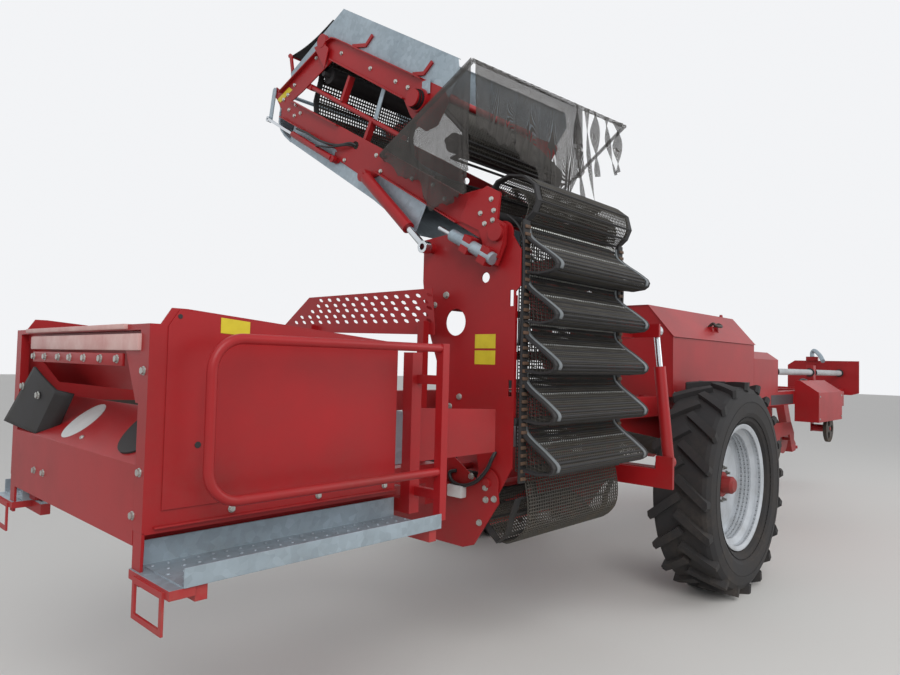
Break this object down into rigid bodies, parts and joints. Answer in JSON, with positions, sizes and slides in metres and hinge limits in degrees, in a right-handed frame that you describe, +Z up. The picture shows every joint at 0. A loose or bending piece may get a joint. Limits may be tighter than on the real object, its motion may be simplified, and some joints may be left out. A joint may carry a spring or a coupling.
{
  "type": "potato harvester",
  "caption": "Trailed red potato harvester with a sorting platform and a folding pocket elevator",
  "frame": {"origin": "Middle of the machine's overall box, on the ground", "axes": "X points forward to the towing eye, Y to the machine's left, Z up"},
  "size_m": [11.15, 3, 4.3458],
  "materials": {
    "red_paint": "satin",
    "hub_paint": "satin",
    "rim_paint": "satin",
    "galvanised": "matt",
    "guard_grey": "matt",
    "dark_steel": "worn",
    "rod_chrome": "polished",
    "black_rubber": "matt",
    "net_black": "matt",
    "tyre": "matt"
  },
  "bodies": {
    "frame": {"axle": "red_paint", "chassis": "red_paint", "cross_beams": "red_paint", "platform_frame": "red_paint", "drawbar": "red_paint", "drawbar_brace": "red_paint", "front_plate": "red_paint", "main_channel": "red_paint", "main_web": "dark_steel", "hood_base": "red_paint", "gearbox_cover": "red_paint", "drive_box": "red_paint", "drive_shaft": "guard_grey", "sorting_box": "red_paint", "sorting_table": "dark_steel", "rear_chute": "red_paint", "chute_flap": "black_rubber", "front_guard": "red_paint", "walkway_right": "galvanised", "walkway_left": "galvanised", "railing_right": "red_paint", "railing_left": "red_paint", "elevator_base": "red_paint", "base_web": "black_rubber"},
    "wheel_right": {"tyre_right": "tyre", "rim_right": "rim_paint", "hub_right": "hub_paint"},
    "wheel_left": {"tyre_left": "tyre", "rim_left": "rim_paint", "hub_left": "hub_paint"},
    "jack": {"jack_leg": "red_paint"},
    "digger": {"digger_frame": "red_paint", "digger_web": "dark_steel"},
    "discs": {"digger_discs": "dark_steel"},
    "rollers": {"ridge_rollers": "red_paint"},
    "lift_barrel": {"lift_barrel": "red_paint"},
    "lift_rod": {"lift_rod": "rod_chrome"},
    "lid": {"hood_lid": "red_paint"},
    "pulley": {"drive_pulley": "dark_steel"},
    "mast": {"mast": "red_paint", "mast_web": "black_rubber"},
    "tilt_barrel": {"tilt_barrel": "red_paint"},
    "tilt_rod": {"tilt_rod": "rod_chrome"},
    "boom": {"boom_frame": "red_paint", "boom_hood": "galvanised", "boom_tray": "galvanised", "boom_web": "black_rubber", "boom_motor": "red_paint", "net_frame": "net_black", "net": "net_black"},
    "boom_barrels": {"boom_barrels": "red_paint"},
    "boom_rods": {"boom_rods": "rod_chrome"},
    "flap": {"tip_flap": "galvanised"},
    "tip_barrel": {"tip_barrel": "red_paint"},
    "tip_rod": {"tip_rod": "rod_chrome"}
  },
  "joints": [
    {"name": "wheel_right_spin", "type": "hinge", "parent": "frame", "child": "wheel_right", "pos_m": [-0.825, -1.265, 0.85], "axis": [0, 1, 0], "continuous": true},
    {"name": "wheel_left_spin", "type": "hinge", "parent": "frame", "child": "wheel_left", "pos_m": [-0.825, 1.265, 0.85], "axis": [0, 1, 0], "continuous": true},
    {"name": "jack_slide", "type": "slide", "parent": "frame", "child": "jack", "axis": [0, 0, 1], "range_m": [0, 0.35]},
    {"name": "digger_lift", "type": "hinge", "parent": "frame", "child": "digger", "pos_m": [-0.105, -0.09, 1.31], "axis": [0, 1, 0], "range_deg": [0, 15]},
    {"name": "lift_barrel_swing", "type": "hinge", "parent": "frame", "child": "lift_barrel", "pos_m": [1.325, 0.544, 1.86], "axis": [0, 1, 0], "range_deg": [-1, 5]},
    {"name": "lift_rod_slide", "type": "slide", "parent": "lift_barrel", "child": "lift_rod", "axis": [-0.0683, 0, -0.9977], "range_m": [-0.005, 0.365]},
    {"name": "discs_spin", "type": "hinge", "parent": "digger", "child": "discs", "pos_m": [2.175, -0.09, 0.94], "axis": [0, 1, 0], "continuous": true},
    {"name": "rollers_spin", "type": "hinge", "parent": "digger", "child": "rollers", "pos_m": [2.735, -0.09, 0.94], "axis": [0, 1, 0], "continuous": true},
    {"name": "pulley_spin", "type": "hinge", "parent": "frame", "child": "pulley", "pos_m": [3.125, -1.1, 1.08], "axis": [0, 1, 0], "continuous": true},
    {"name": "hood_lid_hinge", "type": "hinge", "parent": "frame", "child": "lid", "pos_m": [-0.155, -0.372, 2.343], "axis": [-1, 0, 0], "range_deg": [0, 70]},
    {"name": "mast_tilt", "type": "hinge", "parent": "frame", "child": "mast", "pos_m": [-2.983, -1.02, 1.13], "axis": [-1, 0, 0], "range_deg": [0, 18]},
    {"name": "tilt_barrel_swing", "type": "hinge", "parent": "frame", "child": "tilt_barrel", "pos_m": [-2.155, -1.43, 1.17], "axis": [-1, 0, 0], "range_deg": [-1, 18]},
    {"name": "tilt_rod_slide", "type": "slide", "parent": "tilt_barrel", "child": "tilt_rod", "axis": [0, 0.1129, 0.9936], "range_m": [-0.005, 0.135]},
    {"name": "boom_lift", "type": "hinge", "parent": "mast", "child": "boom", "pos_m": [-2.983, -1.08016, 2.52929], "axis": [1, 0, 0], "range_deg": [-15, 20]},
    {"name": "boom_barrel_swing", "type": "hinge", "parent": "boom", "child": "boom_barrels", "pos_m": [-2.983, 0.07238, 3.04695], "axis": [1, 0, 0], "range_deg": [-30, 30]},
    {"name": "boom_rod_slide", "type": "slide", "parent": "boom_barrels", "child": "boom_rods", "axis": [0, -0.7403, -0.6722], "range_m": [-0.12, 0.15]},
    {"name": "tip_flap_swing", "type": "hinge", "parent": "boom", "child": "flap", "pos_m": [-2.983, 1.28677, 3.96249], "axis": [1, 0, 0], "range_deg": [0, 30]},
    {"name": "tip_barrel_swing", "type": "hinge", "parent": "boom", "child": "tip_barrel", "pos_m": [-3.599, 0.44922, 3.23755], "axis": [1, 0, 0], "range_deg": [-2, 2]},
    {"name": "tip_rod_slide", "type": "slide", "parent": "tip_barrel", "child": "tip_rod", "axis": [0, 0.8713, 0.4908], "range_m": [-0.005, 0.13]}
  ],
  "couplings": [
    {"joint": "lift_barrel_swing", "follows": "digger_lift", "ratio": 0.2433},
    {"joint": "lift_rod_slide", "follows": "digger_lift", "m_per_rad": 1.3706},
    {"joint": "tilt_barrel_swing", "follows": "mast_tilt", "ratio": 0.9303},
    {"joint": "tilt_rod_slide", "follows": "mast_tilt", "m_per_rad": 0.4049},
    {"joint": "boom_barrel_swing", "follows": "boom_lift", "ratio": 0.4373},
    {"joint": "boom_rod_slide", "follows": "boom_lift", "m_per_rad": 0.3972},
    {"joint": "tip_barrel_swing", "follows": "tip_flap_swing", "ratio": -0.0096},
    {"joint": "tip_rod_slide", "follows": "tip_flap_swing", "m_per_rad": 0.2287}
  ]
}
